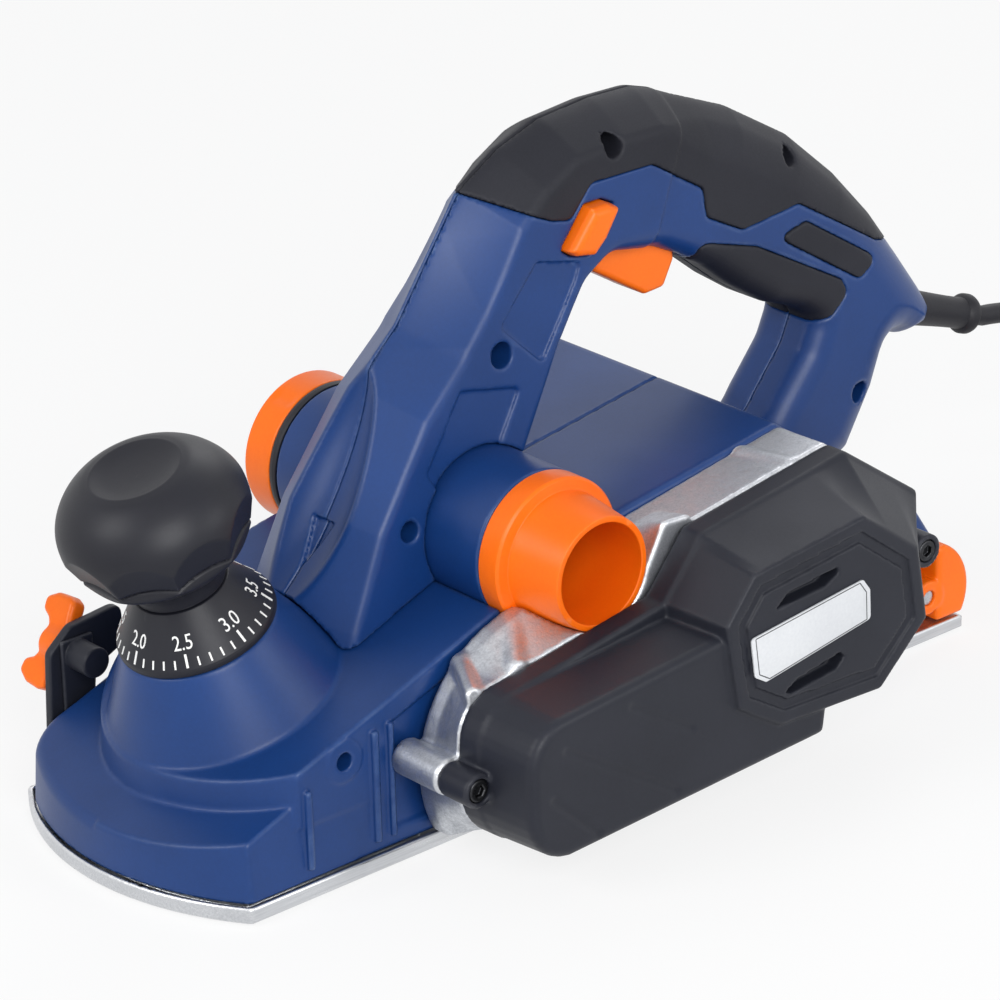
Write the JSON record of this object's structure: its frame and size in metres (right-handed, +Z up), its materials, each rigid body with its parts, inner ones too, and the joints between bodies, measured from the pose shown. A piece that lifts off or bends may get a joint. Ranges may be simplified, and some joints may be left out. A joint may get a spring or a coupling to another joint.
{
  "type": "electric hand planer",
  "caption": "Electric hand planer with a loop handle, tilting-axis depth knob, side belt cover, cross-flow chip duct, stepped front sole and a mains lead put away in a coil.",
  "frame": {"origin": "on the underside of the rear sole, on the centre plane, a little behind the cutter", "axes": "+X forward to the toe, +Y to the belt side, +Z up from the sole"},
  "size_m": [0.5625, 0.1982, 0.2008],
  "materials": {
    "blue_plastic": "blue moulded plastic with a fine grain",
    "black_plastic": "dark grey-black moulded plastic",
    "soft_grip": "soft black over-moulded grip",
    "orange_plastic": "bright orange plastic",
    "cast_aluminium": "cast aluminium, bright on machined edges",
    "bright_steel": "turned steel",
    "dark_steel": "blackened steel",
    "copper": "copper and brass fittings",
    "motor_core": "laminated steel core",
    "black_rubber": "black rubber",
    "plain_plate": "plain silver-grey label with no print"
  },
  "bodies": {
    "body": {"base_frame": "cast_aluminium", "belt_cover": "black_plastic", "brush_holder_1": "copper", "brush_holder_2": "copper", "cable_clamp": "black_plastic", "chip_duct": "blue_plastic", "coil_tie": "black_plastic", "cord": "black_rubber", "cord_coil": "black_rubber", "cover_screw_1": "dark_steel", "cover_screw_2": "dark_steel", "cover_screw_3": "dark_steel", "drive_belt": "black_rubber", "drum_bearing_left": "bright_steel", "drum_bearing_right": "bright_steel", "foot_pin": "bright_steel", "front_housing": "blue_plastic", "grip_left": "soft_grip", "grip_right": "soft_grip", "lower_grip_left": "soft_grip", "lower_grip_right": "soft_grip", "motor_bearing_left": "bright_steel", "motor_bearing_right": "bright_steel", "plug_body": "black_plastic", "plug_pin_1": "bright_steel", "plug_pin_2": "bright_steel", "rating_plate": "plain_plate", "shell_left": "blue_plastic", "shell_right": "blue_plastic", "shell_screw_1": "dark_steel", "shell_screw_2": "dark_steel", "shell_screw_3": "dark_steel", "shell_screw_4": "dark_steel", "stator": "motor_core", "strain_relief": "black_rubber", "switch_body": "black_plastic"},
    "shoe": {"front_shoe": "cast_aluminium", "depth_spring": "bright_steel"},
    "dial": {"depth_knob": "black_plastic", "depth_scale": "black_plastic", "depth_spindle": "bright_steel"},
    "trigger": {"trigger": "orange_plastic"},
    "lock": {"lock_button": "orange_plastic"},
    "rotor": {"rotor": "motor_core", "commutator": "copper", "cooling_fan": "black_plastic", "drive_pulley": "bright_steel"},
    "drum": {"cutter_drum": "bright_steel", "blade_1": "dark_steel", "blade_2": "dark_steel", "blade_clamp_1": "motor_core", "blade_clamp_2": "motor_core", "driven_pulley": "bright_steel"},
    "adapter": {"dust_adapter": "orange_plastic"},
    "plug": {"duct_plug": "orange_plastic", "plug_seal": "black_rubber"},
    "stop": {"stop_bracket": "black_plastic"},
    "wing": {"wing_screw": "orange_plastic"},
    "foot": {"parking_foot": "orange_plastic"}
  },
  "joints": [
    {"name": "depth_turn", "type": "hinge", "parent": "body", "child": "dial", "pos_m": [0.1311, 0, 0.0714], "axis": [0.3338, 0, 0.9426], "range_deg": [-315, 0]},
    {"name": "shoe_slide", "type": "slide", "parent": "body", "child": "shoe", "axis": [0.3338, 0, 0.9426], "range_m": [0, 0.0035]},
    {"name": "trigger_pull", "type": "hinge", "parent": "body", "child": "trigger", "pos_m": [-0.028, 0, 0.1505], "axis": [0, 1, 0], "range_deg": [0, 7], "stiffness_Nm_per_rad": 2, "springref_deg": -5.73},
    {"name": "lock_press", "type": "slide", "parent": "body", "child": "lock", "axis": [0, -1, 0], "range_m": [0, 0.004], "stiffness_N_per_m": 300, "springref_m": -0.002},
    {"name": "drum_spin", "type": "hinge", "parent": "body", "child": "drum", "pos_m": [0.05, 0, 0.028], "axis": [0, 1, 0], "continuous": true},
    {"name": "rotor_spin", "type": "hinge", "parent": "body", "child": "rotor", "pos_m": [-0.038, 0, 0.05], "axis": [0, 1, 0], "continuous": true},
    {"name": "adapter_twist", "type": "hinge", "parent": "body", "child": "adapter", "pos_m": [0.036, 0.0483, 0.0827], "axis": [0, 1, 0], "range_deg": [0, 60]},
    {"name": "plug_pull", "type": "slide", "parent": "body", "child": "plug", "axis": [0, -1, 0], "range_m": [0, 0.018]},
    {"name": "stop_slide", "type": "slide", "parent": "body", "child": "stop", "axis": [0, 0, 1], "range_m": [0, 0.014]},
    {"name": "wing_turn", "type": "hinge", "parent": "body", "child": "wing", "pos_m": [0.137, -0.0598, 0.045], "axis": [0, -1, 0], "range_deg": [-180, 180]},
    {"name": "foot_swing", "type": "hinge", "parent": "body", "child": "foot", "pos_m": [-0.1272, 0, 0.0152], "axis": [0, 1, 0], "range_deg": [0, 60]}
  ],
  "couplings": [
    {"joint": "depth_turn", "follows": "shoe_slide", "rad_per_m": -1570.8},
    {"joint": "rotor_spin", "follows": "drum_spin", "ratio": 0.71429}
  ]
}
